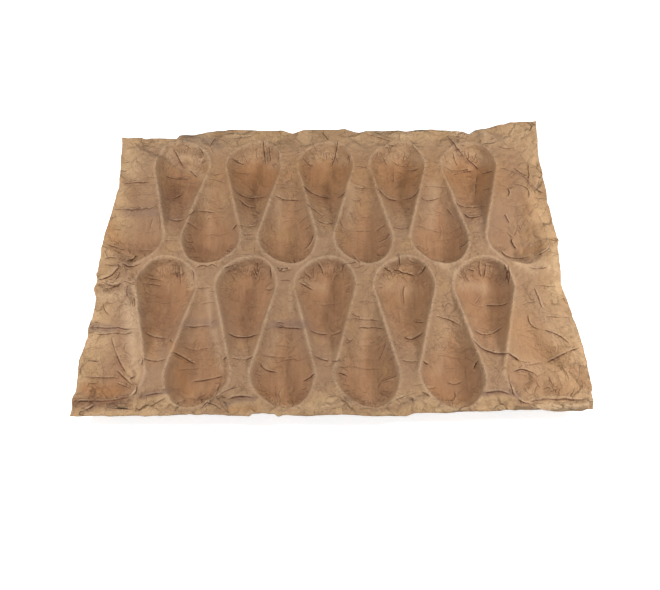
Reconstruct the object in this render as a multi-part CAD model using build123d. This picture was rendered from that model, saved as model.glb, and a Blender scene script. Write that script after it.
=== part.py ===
from build123d import *
import math
import os

# A pressed paper tray for pears: one thin sheet, two rows of cups, millimetres, Z up.
# Every second cup in a row is turned round, so that its tail lies between two round ends.

# Driving dimensions
sheet_thickness = 0.7
cup_radius = 24.3
tail_radius = 7.0
cup_reach = 76.0
cup_depth = 19.9
ridge_width = 2.7
row_pitch = 133.0
row_stagger = 82.5
left_margin = -1.9
right_margin = 16.0
back_margin = 17.0
front_margin = 6.5
edge_wander = 10.0
corner_fold = 18.0
lip_radius = 3.2
lip_drop = 2.0

# Counts
cups_up = 5
cups_down = 6
round_facets = 10
tail_facets = 4

# A cup's contour lines, from above the land down to the foot: shares of the cup's depth,
# of its radius and of its reach from the round end's centre to the tail's
contour_shares = (
    (-0.010, 1.040, 1.005),
    (0.050, 1.000, 1.000),
    (0.175, 0.971, 0.980),
    (0.400, 0.872, 0.684),
    (0.700, 0.667, 0.408),
    (0.920, 0.395, 0.184),
    (1.000, 0.230, 0.066),
)
round_end_share = 1.14
skin_share = 0.75

# The sheet's four edges, corner to corner: share of the way along, share of the wander inward
back_edge_shares = (
    (0.000, 1.3), (0.055, 1.7), (0.132, 1.6), (0.134, 1.3), (0.219, 0.7), (0.380, 0.4),
    (0.405, 0.7), (0.435, 0.4), (0.750, 0.5), (0.832, 0.8), (0.853, 0.4), (0.910, 0.0),
)
right_edge_shares = (
    (0.000, 0.2), (0.100, 0.6), (0.400, 0.5), (0.590, 0.8), (0.720, 0.2), (0.870, 0.0),
)
front_edge_shares = (
    (0.000, 0.4), (0.155, 0.4), (0.215, 0.2), (0.330, 0.25), (0.420, 0.1), (0.480, 0.25),
    (0.610, 0.15), (0.615, 0.3), (0.660, 0.3), (0.665, 0.15), (0.940, 0.0),
)
left_edge_shares = (
    (0.000, 0.0), (0.240, 0.4), (0.360, 0.5), (0.490, 0.1), (0.760, 0.3), (0.880, 0.3),
)

# Where the raised corner's fold meets the back and right edges, and where the front lip starts
fold_back_share = 0.860
fold_right_share = 0.130
lip_start_share = 0.840
lip_end_share = 0.985

# Derived sizes
land_height = cup_depth + sheet_thickness * skin_share
skin = sheet_thickness * skin_share
side_sine = (cup_radius - tail_radius) / cup_reach
side_cosine = math.sqrt(1 - side_sine**2)
side_angle = math.acos(side_sine)
half_pitch = (2 * cup_radius - row_stagger * side_sine) / side_cosine + ridge_width
rim_half_width = cup_radius
cups_half_length = half_pitch * (cups_down - 1) + rim_half_width
cups_half_width = (row_pitch + row_stagger) / 2 + cup_radius * round_end_share
sheet_left = -cups_half_length - left_margin
sheet_right = cups_half_length + right_margin
sheet_back = cups_half_width + back_margin
sheet_front = -cups_half_width - front_margin


def contour(radius, reach, height):
    """Corners of one contour line: the round end at the origin, the tail along +X."""
    tail = radius - reach * side_sine
    corners = []
    for step in range(round_facets + 1):
        angle = side_angle + step * (2 * math.pi - 2 * side_angle) / round_facets
        x = radius * math.cos(angle)
        stretch = round_end_share if x < 0 else 1
        corners.append((x * stretch, radius * math.sin(angle), height))
    for step in range(tail_facets + 1):
        angle = -side_angle + step * 2 * side_angle / tail_facets
        corners.append((reach + tail * math.cos(angle), tail * math.sin(angle), height))
    return corners


def cup_body(growth):
    """A closed body with the cup's form, moved out and down by growth."""
    rings = []
    for depth_share, radius_share, reach_share in contour_shares:
        height = land_height - cup_depth * depth_share - growth
        rings.append(contour(cup_radius * radius_share + growth, cup_reach * reach_share, height))
    faces = [Face(Wire.make_polygon(rings[0])), Face(Wire.make_polygon(rings[-1]))]
    for upper, lower in zip(rings, rings[1:]):
        for corner in range(len(upper)):
            other = (corner + 1) % len(upper)
            facet = (upper[corner], upper[other], lower[other], lower[corner])
            faces.append(Face(Wire.make_polygon(facet)))
    return Solid(Shell(faces))


def cup_places():
    """Where the cups stand: five with the round end at the back, six turned round, in each row."""
    places = []
    for row_centre in (row_pitch / 2, -row_pitch / 2):
        for index in range(cups_up):
            x = (2 * index - cups_up + 1) * half_pitch
            places.append(Location((x, row_centre + row_stagger / 2, 0), -90))
        for index in range(cups_down):
            x = (2 * index - cups_down + 1) * half_pitch
            places.append(Location((x, row_centre - row_stagger / 2, 0), 90))
    return places


def sheet_outline():
    """The sheet's uneven outline, clockwise from the back left corner."""
    length = sheet_right - sheet_left
    width = sheet_back - sheet_front
    corners = []
    for along, inward in back_edge_shares:
        corners.append((sheet_left + along * length, sheet_back - inward * edge_wander))
    for along, inward in right_edge_shares:
        corners.append((sheet_right - inward * edge_wander, sheet_back - along * width))
    for along, inward in front_edge_shares:
        corners.append((sheet_right - along * length, sheet_front + inward * edge_wander))
    for along, inward in left_edge_shares:
        corners.append((sheet_left + inward * edge_wander, sheet_front + along * width))
    return make_face(Polyline(*corners, close=True))


def with_raised_corner(land):
    """The land with its back right corner folded up."""
    start = Vector(
        sheet_left + fold_back_share * (sheet_right - sheet_left),
        sheet_back,
        land_height - sheet_thickness,
    )
    end = Vector(
        sheet_right,
        sheet_back - fold_right_share * (sheet_back - sheet_front),
        land_height - sheet_thickness,
    )
    along = (end - start).normalized()
    fold = Plane(origin=start, x_dir=along, z_dir=along.cross(Vector(0, 0, -1)))
    corner = split(land, bisect_by=fold, keep=Keep.TOP)
    rest = split(land, bisect_by=fold, keep=Keep.BOTTOM)
    return rest + corner.rotate(Axis(start, along), corner_fold)


def front_lip():
    """The strip of the front edge that is rolled down, near the right corner."""
    length = sheet_right - sheet_left
    turn = (sheet_front + lip_radius, land_height - lip_radius)
    outer = CenterArc(turn, lip_radius, 90, 90)
    inner = CenterArc(turn, lip_radius - sheet_thickness, 90, 90)
    outer_lap = outer @ 0 + Vector(lip_radius, 0)
    inner_lap = inner @ 0 + Vector(lip_radius, 0)
    outer_foot = outer @ 1 - Vector(0, lip_drop)
    inner_foot = inner @ 1 - Vector(0, lip_drop)
    outside = [Line(outer_lap, outer @ 0), outer, Line(outer @ 1, outer_foot)]
    inside = [Line(inner_foot, inner @ 1), inner, Line(inner @ 0, inner_lap)]
    ends = [Line(outer_foot, inner_foot), Line(inner_lap, outer_lap)]
    section = make_face(outside + inside + ends)
    strip = extrude(Plane.YZ * section, length * (lip_end_share - lip_start_share))
    return Pos(sheet_left + lip_start_share * length, 0, 0) * strip


outline = sheet_outline()
places = cup_places()
outer_cup = cup_body(skin)
inner_cup = cup_body(0)

land = extrude(Pos(0, 0, land_height - sheet_thickness) * outline, sheet_thickness)
land = with_raised_corner(land) + front_lip()
blank = extrude(outline, 2 * land_height)
cups_outside = [outer_cup.moved(place) & blank for place in places]
cups_inside = [inner_cup.moved(place) for place in places]
tray = land + cups_outside - cups_inside

box = tray.bounding_box()
tray = Pos(-box.center().X, -box.center().Y, -box.min.Z) * tray

os.makedirs("parts", exist_ok=True)
export_step(tray, "parts/fruit_tray.step")
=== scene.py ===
# %% [markdown]
# # A pressed paper fruit tray
# The object is one sheet of brown kraft paper, pressed to the form of a moulded tray: two rows
# of pear-shaped cups, turned alternate ways. It is thin, so every cup, wrinkle and torn edge is a
# bend of the same sheet. It is modelled here as one grid of faces that is pushed into shape and
# then given its thickness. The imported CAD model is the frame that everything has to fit.

import math

import bpy
import numpy as np
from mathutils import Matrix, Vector


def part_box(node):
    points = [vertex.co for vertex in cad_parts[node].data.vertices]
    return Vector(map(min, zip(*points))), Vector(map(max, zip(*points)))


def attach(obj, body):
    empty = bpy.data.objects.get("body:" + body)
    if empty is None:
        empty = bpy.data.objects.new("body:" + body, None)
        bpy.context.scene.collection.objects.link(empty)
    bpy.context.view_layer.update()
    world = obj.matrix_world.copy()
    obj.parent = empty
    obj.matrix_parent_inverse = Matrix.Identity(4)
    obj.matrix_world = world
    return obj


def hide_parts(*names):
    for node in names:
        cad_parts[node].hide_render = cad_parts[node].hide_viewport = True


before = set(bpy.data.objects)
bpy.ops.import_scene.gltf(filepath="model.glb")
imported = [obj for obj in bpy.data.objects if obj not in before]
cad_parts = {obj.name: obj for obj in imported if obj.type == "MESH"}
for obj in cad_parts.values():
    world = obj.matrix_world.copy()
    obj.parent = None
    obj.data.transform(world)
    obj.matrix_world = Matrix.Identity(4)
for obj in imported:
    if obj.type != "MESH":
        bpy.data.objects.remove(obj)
cad_low, cad_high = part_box("fruit_tray")
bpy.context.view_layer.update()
bpy.ops.object.select_all(action="DESELECT")
print("CAD box, mm:", [round(side * 1000, 1) for side in cad_high - cad_low])

# %% [markdown]
# ## Driving sizes
# The tray's own sizes, in millimetres, as a designer would give them. The pattern of cups repeats
# at one pitch, so a handful of numbers places all of them. A cup's tail narrows evenly, and the
# sine of that narrowing follows from the two radii and the distance between their centres.

# %% Sizes of the pattern
MM = 0.001
sheet_thickness = 0.55
cup_radius = 24.3
tail_radius = 7.0
cup_reach = 76.0
half_pitch = 33.32
row_pitch = 133.0
row_stagger = 82.5
round_end_share = 1.14
cups_up = 5
cups_down = 6
left_cup_inset = -1.9
front_cup_inset = 6.5

side_sine = (cup_radius - tail_radius) / cup_reach
left, front, _ = cad_low / MM
right, back, _ = cad_high / MM
pattern_x = left + left_cup_inset + half_pitch * (cups_down - 1) + cup_radius
pattern_y = front + front_cup_inset + (row_pitch + row_stagger) / 2 + cup_radius * round_end_share
land_height = 20.4
print("pattern centre, mm:", round(pattern_x, 1), round(pattern_y, 1))


# %% Places of the cups
def cup_places():
    """Each cup as (row, turned, number, x, y): its round end's centre. Turned cups point forward."""
    places = []
    for row, row_centre in (("back", row_pitch / 2), ("front", -row_pitch / 2)):
        for turned, count, offset in ((False, cups_up, row_stagger / 2), (True, cups_down, -row_stagger / 2)):
            for number in range(count):
                x = pattern_x + (2 * number - count + 1) * half_pitch
                places.append((row, turned, number + 1, x, pattern_y + row_centre + offset))
    return places


places = cup_places()
print("cups:", len(places))

# %% [markdown]
# ## Camera
# The photograph looks down on the tray at a steep angle. The camera is a plain pinhole one, put
# where the two rows of cups keep the spacing that they have in the picture.

# %% Camera
photo_width = 660
focal_pixels = 757
view_pitch = math.radians(58)
aim_right, aim_forward = 4.2, 35.9
aim = Vector((pattern_x + aim_right, pattern_y - aim_forward, land_height)) * MM
distance = 629 * MM

bpy.ops.object.camera_add()
camera = bpy.context.object
camera.name = "camera"
back_off = Vector((0, -math.cos(view_pitch), math.sin(view_pitch)))
camera.location = aim + distance * back_off
camera.rotation_euler = (math.pi / 2 - view_pitch, 0, 0)
camera.data.sensor_fit = "HORIZONTAL"
camera.data.lens_unit = "FOV"
camera.data.angle = 2 * math.atan(photo_width / 2 / focal_pixels)
bpy.context.scene.camera = camera
print("camera at, mm:", [round(c / MM) for c in camera.location])

# %% [markdown]
# ## Two helpers for materials
# Colours are written as the hex values that a paint program shows. Blender mixes light in linear
# values, so one function turns the first into the second. Another adds a node, so that a whole
# material can be read as a list of its nodes from top to bottom.


# %% Colours and nodes
def linear(hex_colour):
    """An sRGB hex colour as linear red, green, blue and alpha."""
    channels = []
    for start in (1, 3, 5):
        value = int(hex_colour[start : start + 2], 16) / 255
        channels.append(value / 12.92 if value <= 0.04045 else ((value + 0.055) / 1.055) ** 2.4)
    return (*channels, 1.0)


def add_node(tree, kind, settings=None, inputs=()):
    """One node with its settings. An input is a value, an output, or a node that feeds it."""
    node = tree.nodes.new("ShaderNode" + kind)
    for name, value in (settings or {}).items():
        setattr(node, name, value)
    for socket, value in inputs.items() if isinstance(inputs, dict) else enumerate(inputs):
        if isinstance(value, bpy.types.Node):
            value = next(output for output in value.outputs if output.enabled)
        if isinstance(value, bpy.types.NodeSocket):
            tree.links.new(value, node.inputs[socket])
        else:
            node.inputs[socket].default_value = value
    return node


print("white in linear values:", linear("#FFFFFF"))

# %% [markdown]
# ## Floor and light
# A white sweep, as in a product photograph. The camera sees it as plain white, and the tray still
# lays a soft shadow on it. Two soft lamps stand at the left and the right, a little toward the
# viewer, so each cup's walls turn from light to dark across it. A pale sky fills the shadows.

# %% Floor
white, black = linear("#FFFFFF"), linear("#000000")
bpy.ops.mesh.primitive_plane_add(size=6, location=(0, 0, cad_low.z))
floor = bpy.context.object
floor.name = "floor"
floor_paint = bpy.data.materials.new("white_sweep")
floor_paint.use_nodes = True
tree = floor_paint.node_tree
tree.nodes.clear()
diffuse = add_node(tree, "BsdfDiffuse", inputs={"Color": linear("#F4F4F4")})
glow = add_node(tree, "Emission", inputs={"Color": white, "Strength": 0.75})
no_glow = add_node(tree, "Emission", inputs={"Color": black, "Strength": 0.0})
to_camera = add_node(tree, "LightPath").outputs["Is Camera Ray"]
seen = add_node(tree, "MixShader", inputs=(to_camera, no_glow, glow))
both = add_node(tree, "AddShader", inputs=(diffuse, seen))
add_node(tree, "OutputMaterial", inputs={"Surface": both})
floor.data.materials.append(floor_paint)
print("floor at, mm:", round(cad_low.z / MM, 2))

# %% Sky
sky_fill = 0.38
world = bpy.data.worlds.new("pale_room")
bpy.context.scene.world = world
world.use_nodes = True
tree = world.node_tree
tree.nodes.clear()
to_camera = add_node(tree, "LightPath").outputs["Is Camera Ray"]
room = add_node(tree, "Background", inputs={"Color": white, "Strength": sky_fill})
backdrop = add_node(tree, "Background", inputs={"Color": white, "Strength": 1.0})
mix = add_node(tree, "MixShader", inputs=(to_camera, room, backdrop))
add_node(tree, "OutputWorld", inputs={"Surface": mix})
bpy.context.scene.view_settings.view_transform = "Standard"
print("sky fill:", sky_fill)

# %% Lamps
# One soft square lamp on each side, level with the other, that looks at the middle of the tray
lamp_aside, lamp_forward, lamp_height, lamp_size = 0.45, 0.08, 0.37, 0.12
for name, side, watts in (("left_lamp", -1, 1.95), ("right_lamp", 1, 2.42)):
    bpy.ops.object.light_add(type="AREA", location=(side * lamp_aside, -lamp_forward, lamp_height))
    lamp = bpy.context.object
    lamp.name = name
    lamp.data.size = lamp_size
    lamp.data.energy = watts
    lamp.rotation_euler = (-lamp.location).to_track_quat("-Z", "Y").to_euler()
    print("lamp:", name, watts, "W")

# %% [markdown]
# ## The flat sheet
# The real tray starts as a flat sheet. A grid primitive gives one with evenly spaced faces, fine
# enough that a wrinkle of two millimetres shows.

# %% Flat sheet
cell = 1.27
left_spill = 6.0
sheet_left = left - left_spill
length = right - sheet_left
width = back - front
columns = round(length / cell)
rows = round(width / cell)
bpy.ops.mesh.primitive_grid_add(x_subdivisions=columns, y_subdivisions=rows, size=1)
sheet = bpy.context.object
sheet.name = "paper_sheet"
corner_count = len(sheet.data.vertices)
flat = np.empty(corner_count * 3)
sheet.data.vertices.foreach_get("co", flat)
flat = flat.reshape(-1, 3)
along = (flat[:, 0] + 0.5).reshape(rows + 1, columns + 1)
across = (flat[:, 1] + 0.5).reshape(rows + 1, columns + 1)
print("sheet corners:", corner_count, "first row runs along x:", bool(along[0, 1] > along[0, 0]))

# %% [markdown]
# ## Helpers for soft and random shapes
# Paper has no sharp steps and no two wrinkles alike. Four small functions give that: a blur, a
# smooth ramp, random waves, and random flat facets like those of paper that was crumpled once.
# They all draw from one seeded source, so the tray comes out the same each time.


# %% Smooth and random helpers
def soften(values, reach):
    """The same values with a soft blur of that reach in cells, which rounds every sharp fold."""
    steps = np.arange(-int(3 * reach) - 1, int(3 * reach) + 2)
    weights = np.exp(-0.5 * (steps / reach) ** 2)
    weights /= weights.sum()
    margin = len(steps) // 2
    for axis in (0, 1):
        pads = [(0, 0), (0, 0)]
        pads[axis] = (margin, margin)
        padded = np.pad(values, pads, mode="edge")
        values = sum(
            weight * np.take(padded, range(start, start + values.shape[axis]), axis=axis)
            for start, weight in enumerate(weights)
        )
    return values


def ramp(values, start, end):
    """0 before start and 1 after end, with a smooth way between them."""
    t = np.clip((values - start) / (end - start), 0, 1)
    return t * t * (3 - 2 * t)


random = np.random.default_rng(22)


def waves(reach):
    """A smooth random field with waves of about that reach in millimetres, between about -1 and 1."""
    coarse = max(1, round(reach / cell / 6))
    shape = (along.shape[0] // coarse + 2, along.shape[1] // coarse + 2)
    field = soften(random.standard_normal(shape), reach / cell / coarse / 2)
    row = np.clip(np.arange(along.shape[0])[:, None] / coarse, 0, shape[0] - 1.001)
    column = np.clip(np.arange(along.shape[1])[None, :] / coarse, 0, shape[1] - 1.001)
    i, j = row.astype(int), column.astype(int)
    p, q = row - i, column - j
    top = field[i, j] * (1 - q) + field[i, j + 1] * q
    low = field[i + 1, j] * (1 - q) + field[i + 1, j + 1] * q
    field = top * (1 - p) + low * p
    return field / (2 * field.std())


def crumple(size):
    """Flat facets of about that size with folds between them, as paper has once it was crumpled."""
    s = (along * length + 0.45 * size * waves(1.6 * size)) / size + 1
    t = (across * width + 0.45 * size * waves(1.6 * size)) / size + 1
    shape = (int(t.max()) + 3, int(s.max()) + 3)
    corner = random.standard_normal(shape)
    turned = random.random(shape) < 0.5
    i, j = t.astype(int), s.astype(int)
    p, q = t - i, s - j
    a, b, c, d = corner[i, j], corner[i, j + 1], corner[i + 1, j], corner[i + 1, j + 1]
    one = np.where(q > p, a + (b - a) * q + (d - b) * p, a + (d - c) * q + (c - a) * p)
    near, far = a + (b - a) * q + (c - a) * p, d + (c - d) * (1 - q) + (b - d) * (1 - p)
    other = np.where(q + p < 1, near, far)
    field = np.where(turned[i, j], other, one)
    return field / (2 * field.std())


print("half way up a ramp:", ramp(0.5, 0, 1))

# %% [markdown]
# ## The uneven edge
# The sheet was torn and trimmed by hand, so no edge is straight: the back edge has a step and two
# notches, and the sides draw in at the waist between the rows. Each edge is a short list of
# points: a share of the way along, and how far inside the sheet's box the paper ends there. The
# pull of an edge fades out a few centimetres inside it, so that the cups keep their places.

# %% Edge lines
back_edge = (
    (0.000, 8.5), (0.055, 12.0), (0.132, 10.0), (0.134, 6.0), (0.200, 1.0), (0.380, 0.0),
    (0.405, 2.8), (0.430, 0.0), (0.750, 0.5), (0.815, 0.0), (0.828, 3.5), (0.842, -0.5),
    (0.890, -2.2), (0.930, -3.3), (1.000, -2.5),
)
front_edge = (
    (0.000, 1.0), (0.060, 0.3), (0.225, 0.4), (0.228, 0.9), (0.300, -0.6), (0.344, -0.8),
    (0.347, 1.2), (0.393, 0.8), (0.396, -0.6), (0.520, 0.8), (0.580, -1.0), (0.640, -0.6),
    (0.655, 2.4), (0.715, 3.0), (0.785, 2.8), (0.845, 4.8), (1.000, 5.8),
)
left_edge = (
    (0.000, 0.5), (0.060, 0.5), (0.140, -1.3), (0.170, -2.5), (0.240, 0.8), (0.300, 1.6),
    (0.370, 2.0), (0.395, -0.8), (0.430, 0.2), (0.500, 0.2), (0.540, -1.3), (0.605, -2.8),
    (0.650, -1.2), (0.730, 1.8), (0.770, 3.8), (1.000, 0.0),
)
right_edge = (
    (0.000, 1.2), (0.060, -0.6), (0.085, -2.8), (0.170, -3.5), (0.230, -1.8), (0.300, 0.6),
    (0.360, 4.1), (0.410, 6.9), (0.450, 5.8), (0.535, 5.0), (0.570, 1.2), (0.650, 2.5),
    (0.770, 5.4), (0.890, 6.8), (1.000, 6.0),
)
side_fade = 32.0
back_fade = 24.0
fray = 0.15
fray_reach = 3.0


def inset(edge, share):
    """How far inside the box the sheet ends, at each share of the way along an edge."""
    shares, depths = zip(*edge)
    return np.interp(share, shares, depths) + fray * waves(fray_reach)


x = sheet_left + along * length
y = front + across * width
from_left, from_right = x - sheet_left, right - x
from_front, from_back = y - front, back - y
x += inset(left_edge, across) * (1 - ramp(from_left, 0, side_fade))
x -= inset(right_edge, across) * (1 - ramp(from_right, 0, side_fade))
y += inset(front_edge, along) * (1 - ramp(from_front, 0, side_fade))
y -= inset(back_edge, along) * (1 - ramp(from_back, 0, back_fade))
print("sheet from", round(float(x.min())), "to", round(float(x.max())), "mm across")

# %% [markdown]
# ## The cups
# A cup is a bowl that runs out into a trough. Every level line in it is the outline of two circles
# of different size with straight sides between them, and the circles shrink and draw together with
# depth. The depth at a point is found by asking between which two level lines it lies. The troughs
# of the cups that point forward were pressed round, and the others end in a narrow fold.

# %% Level lines of one cup
level_count = 30
bowl_power = 1.95
levels = np.linspace(0, 1, level_count)
level_radii = cup_radius * (1 - levels**bowl_power) ** (1 / bowl_power)
reach_levels = (0.0, 0.05, 0.12, 0.25, 0.50, 0.75, 0.90, 1.0)
reach_shares = (1.0, 0.92, 0.81, 0.66, 0.47, 0.30, 0.17, 0.05)
level_reaches = cup_reach * np.interp(levels, reach_levels, reach_shares)
round_troughs = np.interp(levels, (0.0, 0.3, 0.8, 1.0), (1.0, 1.35, 1.25, 0.4)) * tail_radius
folded_troughs = np.interp(levels, (0.0, 0.3, 1.0), (1.0, 0.6, 0.2)) * tail_radius
steepest_sine = 0.55


def outline_distance(u, v, radius, reach, tail):
    """Distance from the outline of the two circles: u runs toward the tail, v across."""
    u = np.where(u < 0, u / round_end_share, u)
    v = np.abs(v)
    tail = min(radius, max(tail, radius - steepest_sine * reach))
    sine = (radius - tail) / reach
    cosine = math.sqrt(1 - sine**2)
    beside = cosine * u - sine * v
    to_bowl = np.hypot(u, v) - radius
    to_tail = np.hypot(u - reach, v) - tail
    to_side = cosine * v + sine * u - radius
    return np.where(beside < 0, to_bowl, np.where(beside > cosine * reach, to_tail, to_side))


def cup_depths(u, v, level_tails):
    """Depth below the land at points of one cup, in shares of the cup's depth."""
    depth = np.zeros_like(u)
    upper = outline_distance(u, v, level_radii[0], level_reaches[0], level_tails[0])
    for step in range(1, level_count):
        lower = outline_distance(u, v, level_radii[step], level_reaches[step], level_tails[step])
        between = (upper < 0) & (lower >= 0)
        part = np.clip(-upper / np.maximum(lower - upper, 1e-9), 0, 1)
        found = levels[step - 1] + part * (levels[step] - levels[step - 1])
        depth = np.where(between, found, depth)
        upper = lower
    return np.where(upper < 0, 1.0, depth)


def to_cup(place, x, y):
    """Sheet points in a cup's own directions: toward its tail, and across it."""
    _, turned, _, cup_x, cup_y = place
    return (y - cup_y if turned else cup_y - y), x - cup_x


def on_sheet(place, u, v):
    """A cup's own directions turned back to a sheet point."""
    _, turned, _, cup_x, cup_y = place
    return cup_x + v, (cup_y + u if turned else cup_y - u)


print("level lines in a cup:", level_count)

# %% [markdown]
# ## Pressing the cups
# The real cups aren't all alike. Their deepest line leans to one side, away from the middle of the
# press. The cups at both ends of a row are open to the cut edge, so they are shallow and soft
# there, and the bowl at the back left is buckled. Round each bowl the paper keeps a narrow bead
# where it bent over the mould. The material paints the bead pale, partly worn paper and partly
# painted highlight, and paints a darker line just inside it, which is painted shade.

# %% All cups pressed into the sheet
bead_place, bead_width = 1.2, 1.7
shade_place, shade_width = -1.6, 1.3
bead_fade = (42, 74)
buckled_cup = ("back", False, 1)
buckled_depth = 0.5
buckled_part = (-16, 12)
end_cup_power = 1.2
end_cup_depth = 0.80
outer_part = (-6, 12)
outer_softness = 7.0
lean_depth = 4.5
lean_turn = -85.0
cup_half_span, cup_bowl_span, cup_tail_span = 45, 48, 105
pressed = np.zeros_like(x)
bead = np.zeros_like(x)
shade = np.zeros_like(x)
for place in places:
    _, turned, number, cup_x, _ = place
    u, v = to_cup(place, x, y)
    lean = lean_depth if cup_x > lean_turn else -lean_depth
    room = np.clip(cup_radius - np.clip(u, 0, None) * side_sine, tail_radius, None) / cup_radius
    v = v - lean * room * np.clip(1 - (v / (room * cup_radius)) ** 2, 0, 1)
    near = (np.abs(v) < cup_half_span) & (u > -cup_bowl_span) & (u < cup_tail_span)
    share = np.zeros_like(x)
    share[near] = cup_depths(u[near], v[near], folded_troughs if turned else round_troughs)
    if turned and number in (1, cups_down):
        share = end_cup_depth * share**end_cup_power
        outward = v if number == cups_down else -v
        share += ramp(outward, *outer_part) * (soften(share, outer_softness / cell) - share)
    if place[:3] == buckled_cup:
        share *= buckled_depth + (1 - buckled_depth) * ramp(u, *buckled_part)
    pressed = np.maximum(pressed, share)
    gap = outline_distance(u[near], v[near], cup_radius, cup_reach, tail_radius)
    beside_bowl = 1 - ramp(u[near], *bead_fade)
    bead[near] = np.maximum(bead[near], np.exp(-(((gap - bead_place) / bead_width) ** 2)) * beside_bowl)
    shade[near] = np.maximum(shade[near], np.exp(-(((gap - shade_place) / shade_width) ** 2)) * beside_bowl)

# The beads fade out toward the cut sides, but a quarter of their height stays at the right
held = ramp(from_left, 18, 46) * (0.25 + 0.75 * ramp(from_right, 16, 52))
bead *= held
shade *= held
rim_softness = 0.9
floor_softness = 4.5
on_floor = ramp(pressed, 0.30, 0.65)
pressed = soften(pressed, rim_softness / cell)
pressed += on_floor * (soften(pressed, floor_softness / cell) - pressed)
print("share of the sheet pressed:", round(float((pressed > 0.1).mean()), 2))

# %% [markdown]
# ## The land between the cups
# The land isn't level on the real tray. At the sides the sheet was cut off beside the last cups,
# so nothing holds it up there and it sags. The rest of the land has low waves, and the margins,
# which no cup stiffens, are crumpled into small flat facets.

# %% Land, sag and crumple
# Each sag is a share of the way from front to back, and how many mm the edge hangs down there
left_sag = ((0.00, 3.0), (0.20, 10.0), (0.38, 7.0), (0.50, 3.0), (0.66, 10.0), (0.84, 3.0), (1.00, 0.0))
right_sag = ((0.00, 2.0), (0.18, 9.0), (0.38, 5.0), (0.50, 1.0), (0.64, 9.0), (0.80, 1.0), (1.00, 0.0))
sag_width = 38.0
front_sag, front_sag_width = 1.8, 14.0
margin = np.minimum(np.minimum(from_left, from_right), np.minimum(from_front, from_back))
loose = 1 - ramp(margin, 4, 30)
sag = np.interp(across, *zip(*left_sag)) * (1 - ramp(from_left, 0, sag_width))
sag += np.interp(across, *zip(*right_sag)) * (1 - ramp(from_right, 0, sag_width))
sag += front_sag * (1 - ramp(from_front, 0, front_sag_width))
rim_rise = 1.3
land_waves = 0.9
land = land_height - rim_rise - sag + land_waves * loose * waves(38)
height = land - (land - sheet_thickness) * pressed + rim_rise * bead * (1 + 0.25 * waves(3.0))
open_land = 1 - ramp(pressed, 0.05, 0.5)
height += (0.6 + 1.3 * loose) * (0.6 + 0.4 * open_land) * crumple(17)
height += (0.35 + 0.45 * loose) * crumple(6)

# Three places where the paper is crumpled most: x, y, how far each reaches and how high it stands
knots = (
    (sheet_left + 24, front + 0.40 * width, 26.0, 3.6),
    (156.0, -121.0, 18.0, 3.0),
    (157.0, 10.0, 15.0, 2.6),
)
for knot_x, knot_y, knot_reach, knot_rise in knots:
    knot = np.exp(-(((x - knot_x) / knot_reach) ** 2 + ((y - knot_y) / (0.7 * knot_reach)) ** 2))
    height += knot_rise * knot * crumple(0.2 * knot_reach + 4.5)
height += 0.5 * pressed * (1 - pressed) * 4 * waves(22)
print("land, mm:", round(float(land.min()), 1), "to", round(float(land.max()), 1))

# %% [markdown]
# ## Folds and creases
# A flat sheet can't take a bowl's form without gathering, so the paper laid itself in pleats round
# every bowl, and the press creased it across the troughs. These lines give the tray its look. Each
# was read off the photograph: how strong it is, and three pixels that it runs through. The camera
# is known, so the same points are found on the sheet by following the camera's lines of sight down
# to the land's level.

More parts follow.
